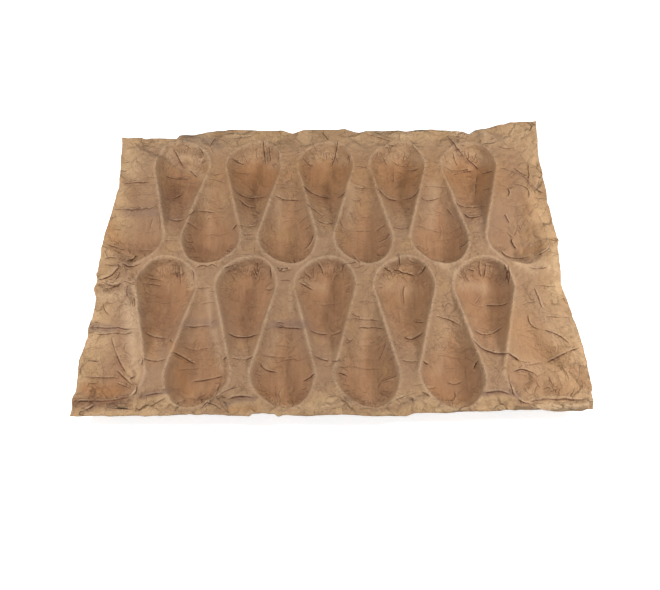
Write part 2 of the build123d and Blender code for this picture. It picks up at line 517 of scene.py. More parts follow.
# %% Creases read from the photograph
creases = {
    "back row, up cup 1": (
        (0.25, (138, 146), (160, 155), (180, 165)), (0.6, (173, 150), (178, 159), (185, 167)),
        (0.5, (185, 144), (189, 148), (193, 151)), (0.5, (199, 147), (202, 152), (205, 159)),
        (0.5, (164, 175), (176, 179), (195, 178)), (0.6, (163, 198), (173, 199), (185, 193)),
        (0.8, (166, 216), (175, 221), (185, 219)), (0.5, (185, 219), (191, 214), (196, 210)),
        (0.6, (189, 170), (194, 174), (198, 179)),
    ),
    "back row, up cup 2": (
        (1.0, (263, 139), (264, 152), (266, 166)), (0.5, (269, 146), (270, 155), (272, 164)),
        (0.4, (277, 148), (279, 156), (278, 164)), (0.8, (231, 157), (238, 163), (245, 165)),
        (0.5, (229, 168), (240, 173), (255, 174)), (0.8, (232, 186), (247, 198), (271, 195)),
        (1.0, (238, 199), (247, 206), (257, 208)), (0.6, (238, 224), (248, 227), (258, 225)),
    ),
    "back row, up cup 3": (
        (0.9, (302, 183), (315, 195), (336, 198)), (0.5, (305, 202), (315, 211), (324, 218)),
        (0.5, (316, 219), (325, 224), (335, 222)), (0.4, (309, 150), (313, 155), (316, 160)),
        (0.5, (312, 142), (315, 148), (317, 153)), (0.5, (321, 131), (325, 136), (329, 141)),
        (0.7, (338, 139), (336, 153), (331, 168)), (0.5, (302, 157), (307, 163), (313, 167)),
        (0.6, (336, 198), (342, 196), (347, 190)), (0.7, (347, 154), (349, 159), (351, 164)),
    ),
    "back row, up cup 4": (
        (0.8, (376, 186), (387, 198), (400, 200)), (0.7, (400, 200), (413, 197), (420, 187)),
        (0.7, (404, 170), (412, 171), (420, 168)), (0.5, (390, 160), (400, 166), (413, 167)),
        (0.3, (393, 168), (393, 176), (394, 183)), (0.6, (391, 225), (400, 229), (410, 226)),
        (0.5, (411, 143), (415, 149), (420, 156)), (0.4, (384, 148), (389, 147), (393, 149)),
    ),
    "back row, up cup 5": (
        (0.9, (447, 137), (455, 148), (464, 158)), (0.8, (464, 158), (472, 165), (480, 170)),
        (0.5, (448, 171), (459, 171), (471, 170)), (0.5, (451, 176), (462, 173), (475, 171)),
        (0.7, (456, 199), (464, 207), (489, 206)), (1.0, (464, 213), (471, 218), (485, 214)),
        (0.5, (481, 174), (487, 173), (494, 170)), (0.5, (482, 190), (487, 189), (492, 187)),
        (0.4, (475, 199), (476, 186), (478, 172)),
    ),
    "back row, down cup 1": (
        (0.6, (105, 243), (116, 248), (127, 250)), (0.5, (137, 250), (145, 251), (155, 250)),
        (0.8, (127, 264), (133, 260), (137, 255)), (0.4, (153, 217), (151, 224), (151, 231)),
        (0.4, (158, 211), (160, 221), (160, 231)), (0.9, (122, 184), (136, 183), (151, 182)),
        (0.4, (136, 190), (145, 195), (155, 193)), (0.5, (136, 204), (147, 210), (159, 202)),
        (0.7, (111, 209), (133, 210), (155, 208)), (0.3, (142, 175), (148, 178), (155, 173)),
        (0.3, (122, 179), (130, 181), (140, 179)),
    ),
    "back row, down cup 2": (
        (0.5, (191, 211), (205, 212), (218, 213)), (0.5, (209, 173), (216, 175), (225, 172)),
        (0.35, (207, 179), (218, 181), (227, 186)), (0.4, (185, 222), (192, 226), (198, 230)),
        (0.3, (187, 233), (190, 235), (193, 237)), (0.4, (185, 240), (190, 242), (195, 242)),
        (0.7, (232, 230), (235, 227), (237, 224)),
    ),
    "back row, down cup 3": (
        (0.7, (274, 194), (285, 200), (304, 200)), (0.4, (276, 187), (287, 188), (298, 187)),
        (0.4, (287, 192), (288, 195), (288, 199)), (0.4, (293, 191), (293, 195), (293, 200)),
        (1.0, (314, 234), (311, 242), (304, 250)), (0.4, (261, 240), (265, 243), (269, 246)),
        (0.3, (298, 224), (305, 219), (312, 214)), (0.3, (305, 231), (309, 227), (313, 224)),
    ),
    "back row, down cup 4": (
        (0.5, (352, 187), (362, 189), (373, 188)), (0.4, (353, 167), (361, 167), (369, 169)),
        (0.4, (350, 197), (356, 201), (364, 198)), (0.4, (339, 218), (342, 225), (346, 230)),
        (0.9, (391, 234), (386, 239), (378, 243)), (0.4, (375, 233), (380, 228), (387, 224)),
    ),
    "back row, down cup 5": (
        (0.6, (419, 196), (429, 201), (444, 196)), (0.4, (421, 186), (433, 187), (447, 188)),
        (0.9, (469, 239), (464, 245), (458, 247)), (0.4, (453, 232), (458, 229), (464, 226)),
        (0.3, (438, 223), (441, 231), (439, 239)), (0.5, (418, 214), (420, 217), (422, 221)),
        (0.4, (445, 207), (450, 213), (454, 220)),
    ),
    "back row, down cup 6": (
        (0.6, (507, 188), (509, 192), (508, 197)), (0.5, (511, 187), (510, 190), (509, 192)),
        (0.4, (497, 185), (503, 186), (507, 187)), (0.7, (513, 185), (526, 188), (529, 199)),
        (0.7, (504, 213), (507, 219), (510, 224)), (0.9, (511, 239), (513, 245), (517, 249)),
        (0.4, (516, 236), (522, 226), (527, 214)), (0.4, (493, 247), (497, 247), (502, 247)),
        (0.4, (529, 245), (542, 240), (555, 237)), (0.4, (533, 197), (540, 199), (547, 202)),
        (0.4, (513, 167), (520, 172), (529, 176)), (0.4, (498, 168), (509, 170), (520, 175)),
        (0.6, (513, 238), (511, 242), (512, 246)), (0.5, (507, 232), (510, 236), (513, 238)),
        (0.5, (513, 238), (516, 232), (518, 225)), (0.6, (497, 247), (512, 258), (534, 256)),
        (0.6, (534, 256), (547, 250), (552, 238)), (0.5, (524, 180), (531, 186), (536, 195)),
        (0.5, (520, 172), (532, 184), (546, 196)), (0.4, (536, 210), (542, 222), (552, 232)),
    ),
    "back margin": (
        (0.5, (518, 143), (525, 139), (532, 136)), (0.5, (495, 145), (507, 149), (516, 147)),
        (0.4, (527, 163), (529, 172), (527, 181)), (0.4, (531, 177), (536, 177), (542, 177)),
        (0.5, (338, 136), (347, 136), (356, 135)), (0.5, (364, 134), (380, 139), (393, 143)),
        (0.5, (400, 132), (400, 137), (400, 141)), (0.4, (407, 139), (415, 143), (424, 144)),
        (0.6, (209, 150), (214, 142), (216, 139)), (0.5, (216, 139), (224, 142), (231, 145)),
        (0.5, (225, 139), (242, 138), (260, 133)), (0.4, (282, 145), (289, 149), (296, 152)),
    ),
    "land between the rows": (
        (0.5, (242, 234), (248, 235), (255, 234)), (0.4, (242, 239), (248, 239), (255, 239)),
        (0.6, (276, 270), (284, 271), (293, 268)), (0.4, (162, 240), (171, 241), (180, 240)),
        (0.4, (317, 235), (323, 236), (329, 235)), (0.4, (340, 263), (347, 264), (362, 261)),
        (0.4, (353, 268), (359, 267), (365, 264)), (0.6, (196, 268), (202, 266), (208, 268)),
        (0.6, (208, 268), (212, 265), (217, 268)), (0.6, (276, 267), (282, 269), (292, 267)),
        (0.4, (278, 281), (288, 280), (292, 282)), (0.3, (194, 288), (203, 288), (213, 288)),
        (0.5, (351, 254), (356, 259), (361, 264)), (0.5, (528, 267), (538, 269), (551, 265)),
        (0.4, (532, 285), (545, 286), (558, 286)),
    ),
    "crumpled left side": (
        (0.9, (97, 280), (110, 277), (123, 266)), (0.8, (123, 266), (131, 267), (142, 263)),
        (0.7, (98, 281), (111, 287), (123, 282)), (0.6, (123, 282), (129, 283), (136, 285)),
        (0.6, (109, 287), (115, 282), (123, 279)), (0.9, (128, 285), (128, 292), (128, 300)),
        (0.8, (133, 296), (135, 302), (134, 308)), (0.5, (100, 288), (110, 291), (121, 297)),
        (0.6, (136, 269), (138, 275), (142, 281)), (0.6, (103, 259), (111, 258), (118, 259)),
        (0.6, (102, 264), (114, 266), (124, 270)), (0.5, (99, 285), (104, 290), (103, 295)),
        (0.5, (124, 288), (126, 294), (122, 299)), (0.5, (114, 281), (117, 277), (121, 272)),
        (0.4, (127, 278), (132, 281), (138, 284)), (0.4, (104, 300), (112, 303), (120, 298)),
        (0.5, (84, 414), (91, 409), (99, 404)), (0.5, (101, 404), (115, 408), (138, 409)),
        (0.5, (116, 370), (122, 377), (128, 383)), (0.5, (124, 386), (129, 381), (137, 377)),
        (0.5, (203, 402), (212, 404), (224, 412)), (0.5, (200, 411), (205, 404), (212, 399)),
    ),
    "front row, up cup 1": (
        (0.7, (176, 261), (176, 271), (178, 279)), (0.6, (180, 263), (180, 275), (182, 288)),
        (0.6, (192, 269), (194, 275), (193, 282)), (0.5, (142, 277), (152, 279), (165, 282)),
        (0.5, (140, 283), (152, 285), (165, 286)), (0.4, (146, 273), (151, 275), (155, 277)),
        (0.9, (145, 332), (154, 337), (170, 339)), (0.7, (170, 339), (171, 341), (173, 343)),
        (0.5, (143, 357), (154, 361), (169, 358)),
    ),
    "front row, up cup 2": (
        (0.8, (257, 261), (257, 269), (253, 279)), (0.7, (269, 265), (271, 273), (270, 279)),
        (0.5, (264, 289), (270, 290), (274, 287)), (0.4, (223, 269), (228, 267), (235, 265)),
        (0.4, (225, 273), (229, 272), (233, 271)), (0.9, (227, 332), (242, 338), (262, 333)),
        (0.6, (229, 357), (243, 360), (255, 355)), (0.3, (219, 289), (228, 289), (238, 291)),
    ),
    "front row, up cup 3": (
        (0.7, (309, 330), (318, 334), (330, 335)), (0.6, (313, 355), (322, 360), (330, 361)),
        (0.6, (317, 262), (321, 269), (324, 277)), (0.5, (298, 280), (302, 278), (306, 277)),
        (0.6, (299, 282), (306, 287), (315, 291)), (0.4, (303, 273), (307, 275), (312, 279)),
        (0.7, (330, 335), (337, 334), (342, 330)), (0.5, (330, 361), (336, 361), (341, 359)),
        (0.6, (342, 273), (343, 268), (345, 264)), (0.4, (346, 266), (345, 271), (345, 274)),
    ),
    "front row, up cup 4": (
        (0.9, (391, 270), (403, 273), (416, 276)), (0.7, (416, 276), (422, 272), (426, 264)),
        (0.7, (383, 267), (387, 270), (392, 272)), (0.5, (399, 252), (399, 260), (400, 268)),
        (0.4, (378, 287), (381, 287), (384, 288)), (0.5, (412, 320), (418, 322), (426, 322)),
        (0.8, (403, 337), (413, 339), (425, 331)), (0.4, (405, 283), (403, 295), (405, 308)),
        (0.5, (400, 360), (410, 362), (420, 361)),
    ),
    "front row, up cup 5": (
        (0.6, (480, 260), (479, 269), (482, 279)), (0.6, (485, 262), (485, 270), (483, 279)),
        (1.0, (504, 264), (506, 273), (504, 283)), (0.7, (508, 265), (509, 275), (508, 287)),
        (0.5, (464, 268), (470, 270), (475, 272)), (0.8, (483, 305), (497, 306), (511, 302)),
        (0.7, (472, 327), (487, 335), (507, 324)), (1.0, (472, 338), (489, 352), (512, 353)),
        (0.5, (474, 304), (478, 300), (482, 295)), (0.4, (455, 273), (458, 276), (462, 279)),
    ),
    "front row, down cup 1": (
        (0.7, (90, 327), (111, 329), (138, 329)), (0.5, (90, 333), (113, 335), (139, 332)),
        (0.5, (102, 302), (105, 310), (110, 317)), (0.6, (113, 335), (116, 354), (130, 381)),
        (0.7, (117, 373), (127, 381), (136, 387)), (0.6, (115, 383), (125, 386), (134, 391)),
        (0.5, (80, 377), (100, 378), (119, 378)), (0.8, (84, 402), (111, 401), (132, 396)),
        (0.6, (132, 396), (136, 391), (137, 385)), (0.6, (141, 365), (142, 362), (142, 357)),
        (0.4, (86, 361), (93, 361), (100, 361)),
    ),
    "front row, down cup 2": (
        (0.5, (184, 327), (198, 327), (213, 326)), (0.4, (211, 324), (213, 322), (214, 320)),
        (0.9, (173, 351), (183, 358), (197, 365)), (0.5, (190, 383), (207, 380), (228, 375)),
        (0.6, (217, 392), (219, 387), (221, 383)), (0.5, (223, 360), (225, 358), (227, 356)),
        (0.3, (188, 400), (200, 398), (209, 392)),
    ),
    "front row, down cup 3": (
        (0.6, (275, 327), (288, 328), (305, 329)), (0.5, (275, 324), (280, 323), (286, 324)),
        (0.7, (259, 363), (266, 370), (278, 373)), (0.9, (302, 381), (309, 378), (315, 373)),
        (0.4, (277, 385), (275, 392), (278, 400)), (0.4, (283, 387), (279, 395), (284, 404)),
    ),
    "front row, down cup 4": (
        (0.4, (351, 312), (357, 316), (361, 317)), (0.4, (351, 318), (367, 320), (383, 321)),
        (0.5, (357, 328), (372, 328), (387, 329)), (0.5, (346, 337), (350, 341), (354, 337)),
        (0.6, (337, 373), (343, 375), (348, 377)), (0.4, (386, 337), (383, 350), (378, 363)),
        (0.9, (398, 376), (390, 379), (380, 382)), (0.4, (374, 394), (381, 401), (386, 396)),
    ),
    "front row, down cup 5": (
        (0.6, (435, 317), (445, 318), (462, 327)), (0.3, (445, 313), (447, 304), (455, 306)),
        (0.6, (423, 361), (425, 363), (429, 365)), (0.8, (474, 370), (476, 365), (479, 360)),
        (0.3, (453, 390), (455, 396), (451, 402)), (0.4, (445, 381), (454, 385), (463, 381)),
    ),
    "front row, down cup 6": (
        (0.8, (507, 353), (513, 357), (520, 362)), (0.7, (545, 365), (562, 355), (581, 348)),
        (0.5, (528, 312), (530, 324), (541, 330)), (0.6, (541, 330), (557, 335), (570, 346)),
        (0.6, (533, 287), (538, 298), (543, 312)), (0.4, (541, 317), (557, 317), (572, 318)),
        (0.6, (512, 373), (524, 370), (539, 377)), (0.5, (551, 395), (553, 391), (554, 388)),
        (0.5, (533, 393), (536, 388), (538, 385)), (0.3, (526, 371), (531, 376), (535, 379)),
        (0.3, (535, 379), (541, 374), (548, 371)), (0.3, (535, 379), (538, 385), (541, 391)),
        (0.3, (523, 386), (529, 382), (535, 379)), (0.3, (548, 371), (556, 372), (564, 368)),
        (0.3, (541, 391), (548, 388), (556, 389)), (0.3, (523, 386), (527, 391), (533, 394)),
        (0.3, (556, 375), (560, 382), (562, 390)), (0.3, (548, 376), (551, 383), (556, 389)),
        (0.5, (509, 372), (510, 384), (516, 394)), (0.6, (516, 394), (528, 400), (545, 399)),
        (0.6, (545, 399), (566, 396), (576, 382)), (0.45, (576, 382), (579, 370), (574, 352)),
        (0.3, (558, 365), (566, 373), (569, 384)), (0.3, (520, 364), (523, 368), (526, 371)),
    ),
    "front margin": (
        (0.8, (77, 404), (86, 402), (96, 404)), (0.8, (84, 410), (90, 407), (97, 404)),
        (0.5, (97, 404), (113, 404), (130, 402)), (0.6, (142, 395), (153, 393), (165, 392)),
        (0.5, (146, 410), (156, 404), (167, 398)), (0.6, (225, 400), (243, 396), (254, 398)),
        (0.5, (219, 396), (228, 391), (242, 387)), (0.4, (219, 400), (223, 407), (228, 413)),
        (0.4, (204, 400), (204, 407), (200, 413)), (0.7, (483, 393), (498, 391), (512, 393)),
        (0.5, (391, 404), (405, 397), (420, 393)), (0.5, (420, 393), (426, 394), (430, 398)),
        (0.4, (451, 411), (458, 411), (466, 410)), (0.4, (324, 398), (337, 397), (347, 404)),
        (0.9, (524, 399), (556, 396), (593, 397)),
    ),
}
print("creases listed for", len(creases), "parts of the tray")

# %% [markdown]
# ## Soft folds and painted patches
# Beside its sharp creases the real sheet has broad soft folds without a line. The sheet is also
# painted paler in some places, a painted highlight where walls face the light, darker brown in
# others, painted shade in hollows and folds, and warmer in tone in others again. These were read
# off the photograph in the same way.

# %% Soft folds read from the photograph
# Each is its height in mm, its half width in mm, how grey and dark it is painted (partly painted shade), and
# three pixels
soft_folds = (
    (-4.2, 4.2, 0.4, (142, 143), (162, 155), (183, 168)), (1.2, 5.0, 0.9, (184, 139), (205, 141), (218, 147)),
    (0.6, 4.0, 1.0, (90, 328), (100, 328), (112, 330)), (-1.8, 2.4, 0.9, (142, 396), (155, 393), (168, 391)),
    (0.5, 4.0, 0.9, (273, 325), (288, 324), (304, 325)), (0.8, 4.0, 0.5, (480, 136), (492, 137), (503, 140)),
    (-1.8, 2.4, 0.9, (225, 405), (239, 399), (253, 398)), (0.5, 4.0, 0.6, (184, 324), (198, 323), (213, 324)),
    (0.8, 4.5, 0.7, (126, 213), (140, 213), (154, 213)), (2.2, 5.0, 0.0, (113, 335), (117, 352), (127, 374)),
    (1.5, 4.0, 0.0, (101, 285), (113, 280), (124, 268)), (-1.8, 4.0, 0.2, (445, 314), (452, 308), (456, 303)),
    (2.0, 4.0, 0.2, (448, 139), (460, 153), (471, 166)), (1.5, 4.0, 0.0, (529, 288), (536, 299), (543, 311)),
    (1.4, 5.0, 0.1, (213, 148), (219, 141), (229, 145)), (1.6, 5.0, 0.0, (552, 352), (566, 351), (582, 347)),
    (3.0, 3.2, 0.0, (520, 404), (556, 403), (592, 402)),
    (4.5, 8.0, 0.0, (165, 155), (182, 158), (200, 161)), (1.5, 2.6, 0.0, (146, 402), (157, 399), (170, 396)),
    (1.5, 2.6, 0.0, (220, 396), (231, 391), (243, 388)), (-1.5, 2.2, 0.9, (484, 394), (499, 391), (517, 392)),
    (1.6, 2.6, 0.0, (390, 405), (405, 398), (420, 394)), (-1.4, 2.0, 0.4, (397, 410), (410, 402), (424, 397)),
    (1.6, 2.6, 0.0, (322, 404), (334, 399), (346, 396)), (-1.4, 2.0, 0.4, (328, 410), (339, 403), (352, 399)),
    (1.8, 2.6, 0.0, (366, 133), (379, 137), (393, 141)),
    (-1.5, 2.2, 0.25, (364, 137), (378, 142), (390, 146)),
    (2.0, 2.6, 0.0, (75, 402), (86, 400), (98, 403)), (-1.8, 2.2, 0.6, (84, 410), (90, 407), (98, 404)),
    (1.6, 3.0, 0.0, (536, 178), (541, 186), (548, 196)), (-1.5, 2.4, 0.3, (512, 170), (528, 178), (540, 192)),
    (4.0, 2.6, 0.2, (98, 276), (112, 272), (128, 262)),
    (-3.0, 2.4, 0.6, (100, 284), (112, 281), (126, 272)), (3.8, 2.5, 0.2, (103, 292), (114, 284), (130, 277)),
    (-2.0, 2.4, 0.5, (108, 290), (118, 287), (127, 287)), (3.2, 2.6, 0.2, (126, 286), (128, 294), (128, 304)),
    (-0.8, 1.8, 0.0, (133, 288), (134, 296), (133, 304)), (1.6, 3.0, 0.0, (118, 330), (120, 350), (132, 376)),
)
print("soft folds:", len(soft_folds))

# %% Painted highlight, painted shade and warmer patches read from the photograph
# Each is its strength, its half width in mm, and three pixels
# Painted highlights: paler where cup walls, ridges and the rolled lip face the lamps
painted_highlight_patches = (
    (1.0, 6.0, (166, 157), (182, 160), (200, 163)), (0.9, 5.0, (188, 168), (197, 172), (204, 178)),
    (1.2, 5.0, (100, 298), (112, 295), (122, 295)), (0.5, 7.0, (128, 150), (132, 165), (132, 176)),
    (1.5, 3.4, (538, 404), (562, 403), (590, 402)),
    (1.3, 5.5, (129, 305), (132, 335), (136, 376)), (1.0, 3.0, (186, 267), (191, 277), (193, 287)),
    (0.6, 2.0, (208, 288), (209, 305), (210, 325)), (0.5, 2.5, (216, 330), (220, 348), (222, 365)),
    (0.5, 2.0, (291, 285), (291, 300), (292, 315)), (0.4, 4.0, (206, 190), (208, 210), (210, 230)),
    (0.5, 4.0, (351, 185), (351, 205), (352, 228)), (0.6, 5.0, (433, 185), (432, 205), (430, 228)),
    (0.4, 4.0, (278, 195), (279, 212), (279, 230)), (0.45, 3.5, (365, 318), (361, 345), (356, 372)),
    (0.5, 4.0, (446, 325), (441, 348), (438, 372)), (0.5, 3.5, (276, 335), (272, 350), (267, 368)),
    (0.6, 7.0, (384, 283), (396, 285), (408, 290)), (0.6, 5.0, (303, 282), (312, 285), (322, 288)),
    (0.8, 6.0, (462, 284), (474, 286), (484, 288)), (0.8, 6.0, (163, 153), (178, 152), (192, 153)),
    (0.6, 6.0, (245, 150), (256, 148), (268, 150)), (0.7, 6.0, (312, 150), (326, 149), (340, 152)),
    (0.8, 6.0, (384, 152), (399, 150), (414, 154)), (0.4, 5.0, (452, 147), (459, 155), (466, 165)),
    (0.2, 6.0, (535, 300), (546, 320), (552, 335)), (0.5, 7.0, (530, 365), (545, 372), (560, 376)),
    (1.0, 8.5, (448, 163), (462, 152), (486, 160)), (0.9, 8.5, (240, 160), (258, 156), (276, 163)),
    (1.0, 8.5, (315, 158), (328, 154), (342, 160)), (1.0, 8.5, (388, 158), (402, 154), (418, 160)),
    (0.8, 4.0, (440, 264), (449, 268), (456, 274)), (0.9, 4.0, (518, 262), (526, 267), (534, 270)),
    (1.3, 3.5, (455, 133), (470, 134), (485, 134)), (1.1, 3.5, (380, 134), (396, 136), (410, 136)),
    (0.8, 5.0, (127, 286), (134, 292), (138, 300)), (0.7, 3.0, (214, 332), (219, 350), (221, 368)),
    (0.9, 3.5, (226, 135), (239, 136), (252, 136)), (0.7, 3.5, (512, 132), (526, 134), (540, 136)),
    (0.9, 4.5, (566, 318), (577, 335), (584, 350)), (0.6, 2.5, (398, 398), (414, 400), (432, 400)),
    (0.8, 2.5, (322, 409), (330, 405), (338, 402)), (0.7, 2.5, (296, 407), (306, 407), (316, 408)),
    (0.3, 20.0, (150, 152), (330, 148), (540, 150)), (0.8, 6.0, (540, 264), (552, 269), (562, 276)),
)
# Darker brown patches: painted shade in the cups' hollows, along the folds and at the front edge
brown_shade_patches = (
    (0.9, 2.0, (484, 394), (498, 391), (517, 392)), (0.7, 2.5, (355, 408), (372, 409), (392, 408)),
    (1.3, 2.4, (142, 395), (154, 392), (168, 390)), (0.7, 2.5, (455, 409), (465, 410), (474, 409)),
    (0.6, 2.5, (236, 397), (246, 395), (256, 397)), (0.6, 3.0, (122, 184), (135, 183), (148, 181)),
    (0.7, 4.0, (90, 404), (112, 402), (132, 398)), (0.5, 3.0, (100, 266), (114, 264), (128, 262)),
    (0.9, 9.0, (165, 295), (168, 312), (170, 330)), (0.8, 8.0, (243, 298), (246, 314), (248, 330)),
    (0.7, 7.0, (334, 296), (338, 312), (338, 326)), (0.9, 8.0, (177, 188), (178, 205), (178, 226)),
    (0.7, 7.0, (252, 178), (251, 198), (250, 222)), (0.5, 6.0, (232, 215), (232, 225), (229, 238)),
    (0.8, 5.0, (190, 398), (206, 401), (222, 397)), (0.8, 5.0, (266, 396), (283, 402), (302, 396)),
    (0.7, 5.0, (350, 396), (368, 402), (386, 396)), (0.7, 5.0, (436, 396), (452, 402), (470, 396)),
    (1.2, 6.0, (86, 390), (102, 392), (122, 390)), (0.4, 7.0, (196, 330), (196, 350), (194, 372)),
    (0.5, 6.0, (196, 292), (196, 306), (193, 322)), (0.4, 6.0, (108, 215), (112, 232), (116, 244)),
    (0.9, 7.0, (120, 246), (142, 250), (160, 246)), (0.8, 5.0, (196, 248), (212, 252), (226, 246)),
    (1.8, 5.0, (76, 402), (100, 402), (128, 400)), (0.7, 6.0, (128, 180), (134, 195), (134, 210)),
    (0.9, 1.5, (346, 409), (358, 411), (370, 414)), (0.7, 6.0, (575, 365), (582, 380), (586, 390)),
    (0.7, 5.0, (545, 195), (552, 210), (556, 228)), (0.5, 4.0, (176, 398), (205, 404), (225, 400)),
    (0.8, 2.0, (162, 411), (173, 410), (185, 411)), (0.9, 1.6, (202, 412), (212, 411), (224, 412)),
    (0.7, 2.5, (268, 407), (278, 409), (288, 410)), (0.8, 3.5, (98, 398), (110, 400), (124, 398)),
    (0.6, 3.5, (516, 396), (524, 402), (534, 403)), (0.5, 3.0, (466, 402), (482, 404), (504, 404)),
    (0.8, 5.0, (182, 176), (188, 182), (192, 190)), (0.5, 4.0, (522, 196), (526, 204), (530, 212)),
)
warm_patches = (
    (0.9, 6.0, (88, 388), (102, 392), (116, 390)), (0.8, 7.0, (108, 225), (112, 235), (116, 245)),
    (0.6, 4.0, (180, 368), (182, 380), (188, 392)), (0.6, 4.0, (258, 390), (275, 400), (292, 402)),
    (0.5, 4.0, (436, 392), (452, 401), (468, 398)), (0.7, 4.0, (524, 251), (540, 248), (553, 238)),
    (0.5, 5.0, (150, 330), (150, 345), (154, 360)), (0.6, 4.0, (173, 345), (178, 356), (186, 362)),
    (0.6, 30.0, (235, 172), (365, 169), (495, 172)), (0.5, 18.0, (520, 330), (548, 356), (562, 380)),
    (0.35, 14.0, (508, 150), (530, 200), (540, 235)), (0.8, 2.2, (228, 410), (242, 409), (256, 410)),
)
print("patches:", len(painted_highlight_patches) + len(brown_shade_patches) + len(warm_patches))

# %% [markdown]
# ## From the picture to the sheet
# A pixel stands for a line of sight from the camera. Where that line meets the land's level is the
# pixel's place on the sheet, as if the tray were flat. Every corner of the sheet is moved along
# its own line of sight to that level too, so a crease lands where the picture shows it, on the
# land and down in a cup alike. Each line is a smooth curve through its three points.

# %% Lines of sight
principal_pixel = (330, 295)
sight_ahead = Vector((0, math.cos(view_pitch), -math.sin(view_pitch)))
sight_up = Vector((0, math.sin(view_pitch), math.cos(view_pitch)))
eye = camera.location / MM


def pixel_on_land(pixel):
    """Where the line of sight through a pixel of the photograph meets the land's level."""
    ray = sight_ahead * focal_pixels + sight_up * (principal_pixel[1] - pixel[1])
    ray.x += pixel[0] - principal_pixel[0]
    return eye + ray * ((land_height - eye.z) / ray.z)


def curve_through(points):
    """Nine points on the smooth curve through three."""
    first, middle, last = (np.array(point[:2]) for point in points)
    t = np.linspace(0, 1, 9)[:, None]
    return (1 - t) * (1 - 2 * t) * first + 4 * t * (1 - t) * middle + t * (2 * t - 1) * last


def seen_curve(pixels):
    """The curve on the sheet through three pixels of the photograph."""
    return curve_through([pixel_on_land(pixel) for pixel in pixels])


def from_line(line, px, py):
    """Signed distance of points from a line, positive on its left, and the share of the way along it."""
    best = np.full(px.shape, np.inf)
    side = np.zeros_like(px)
    along_line = np.zeros_like(px)
    for number, (start, end) in enumerate(zip(line[:-1], line[1:])):
        step = end - start
        run = max(float(np.hypot(*step)), 1e-6)
        t = np.clip(((px - start[0]) * step[0] + (py - start[1]) * step[1]) / run**2, 0, 1)
        dx, dy = px - start[0] - t * step[0], py - start[1] - t * step[1]
        gap = np.hypot(dx, dy)
        closer = gap < best
        best = np.where(closer, gap, best)
        side = np.where(closer, np.sign(step[0] * dy - step[1] * dx), side)
        along_line = np.where(closer, (number + t) / (len(line) - 1), along_line)
    return best * np.where(side == 0, 1, side), along_line


stretch = (eye.z - land_height) / (eye.z - height)
seen_x = eye.x + (x - eye.x) * stretch
seen_y = eye.y + (y - eye.y) * stretch
print("eye, mm:", [round(c) for c in eye])

# %% [markdown]
# ## Pressing the creases
# At a real crease the paper on one side stands up in a small lap over the other. Each line here
# lifts the sheet in the same way and also leaves two marks on it, its side and its strength, from
# which the material draws the thin dark line that is finer than a face of the grid.

# %% Pressing the creases
crease_reach = 9.0
lap_height, lap_length, lap_step = 1.25, 2.6, 0.32
foot_depth, foot_place, foot_width = 0.45, -1.0, 1.3
wander_reach = 0.45
mark_fade = (1.35, 2.4)
mark_limit = 3.0
crease_side = np.full(x.shape, mark_limit)
crease_strength = np.zeros_like(x)
lift = np.zeros_like(x)
worn = np.clip(0.95 + 0.25 * waves(5), 0.5, 1.25)
wander = waves(5)


def press_crease(strength, line, px, py):
    """One crease: the paper on its left stands up in a lap that falls away, and a line is marked."""
    low, high = line.min(axis=0) - crease_reach, line.max(axis=0) + crease_reach
    near = (px > low[0]) & (px < high[0]) & (py > low[1]) & (py < high[1])
    gap, share = from_line(line, px[near], py[near])
    gap += wander_reach * wander[near]
    held = strength * worn[near] * np.clip(5 * share, 0, 1) * np.clip(5 * (1 - share), 0, 1)
    lap = np.exp(-np.clip(gap, 0, None) / lap_length) / (1 + np.exp(-gap / lap_step))
    lap -= foot_depth * np.exp(-((gap - foot_place) / foot_width) ** 2)
    lift[near] += lap_height * held * lap
    marked = held * (1 - ramp(np.abs(gap), *mark_fade))
    stronger = marked > crease_strength[near]
    crease_side[near] = np.where(stronger, np.clip(gap, -mark_limit, mark_limit), crease_side[near])
    crease_strength[near] = np.where(stronger, marked, crease_strength[near])


for group in creases.values():
    for strength, *pixels in group:
        press_crease(strength, seen_curve(pixels), seen_x, seen_y)
print("creases read from the photograph:", sum(len(group) for group in creases.values()))

# %% [markdown]
# ## Fine creases
# Between those there are many finer ones, too small to place one by one. They follow the same
# rule on the real tray: short pleats point at the middle of each bowl, some of them side by side
# in fans, and shallow creases hang across each trough. A seeded random draw places them.

# %% Fine creases
trough_creases = 13
bowl_pleats = 16
pleat_fans = 5
fan_pleats = 6
fan_step = 0.11
loose_creases = 300


def pleat(place, turn, outer, inner, swings):
    """A line from a bowl's rim inward, which swings aside by that much half way and at its end."""
    radii = (outer, (outer + inner) / 2, inner)
    ends = [
        (radius * round_end_share * math.cos(turn + swing), radius * math.sin(turn + swing))
        for radius, swing in zip(radii, (0, *swings))
    ]
    return curve_through([on_sheet(place, *end) for end in ends])


for place in places:
    for _ in range(trough_creases):
        u = random.uniform(0, 74)
        half = (cup_radius - u * side_sine) * random.uniform(0.35, 0.85)
        shift = random.uniform(-0.4, 0.4) * half
        tilt, hang = random.uniform(-2.5, 2.5), random.uniform(0.5, 4.0)
        ends = ((u - tilt, shift - half), (u + hang, shift), (u + tilt, shift + half))
        line = curve_through([on_sheet(place, *end) for end in ends])
        press_crease(random.uniform(0.06, 0.30), line, x, y)
    for _ in range(bowl_pleats):
        turn = random.uniform(0.55, 1.45) * math.pi
        outer, inner = cup_radius * random.uniform(0.85, 1.0), cup_radius * random.uniform(0.45, 0.7)
        line = pleat(place, turn, outer, inner, (random.uniform(-0.06, 0.06), 0))
        press_crease(random.uniform(0.10, 0.42), line, x, y)
    for _ in range(pleat_fans):
        turn, slant = random.uniform(0.45, 1.55) * math.pi, random.uniform(-0.25, 0.25)
        for number in range(fan_pleats):
            angle = turn + fan_step * number + random.uniform(-0.02, 0.02)
            outer, inner = cup_radius * random.uniform(0.84, 0.96), cup_radius * random.uniform(0.55, 0.72)
            line = pleat(place, angle, outer, inner, (0.4 * slant, slant))
            press_crease(random.uniform(0.10, 0.36), line, x, y)
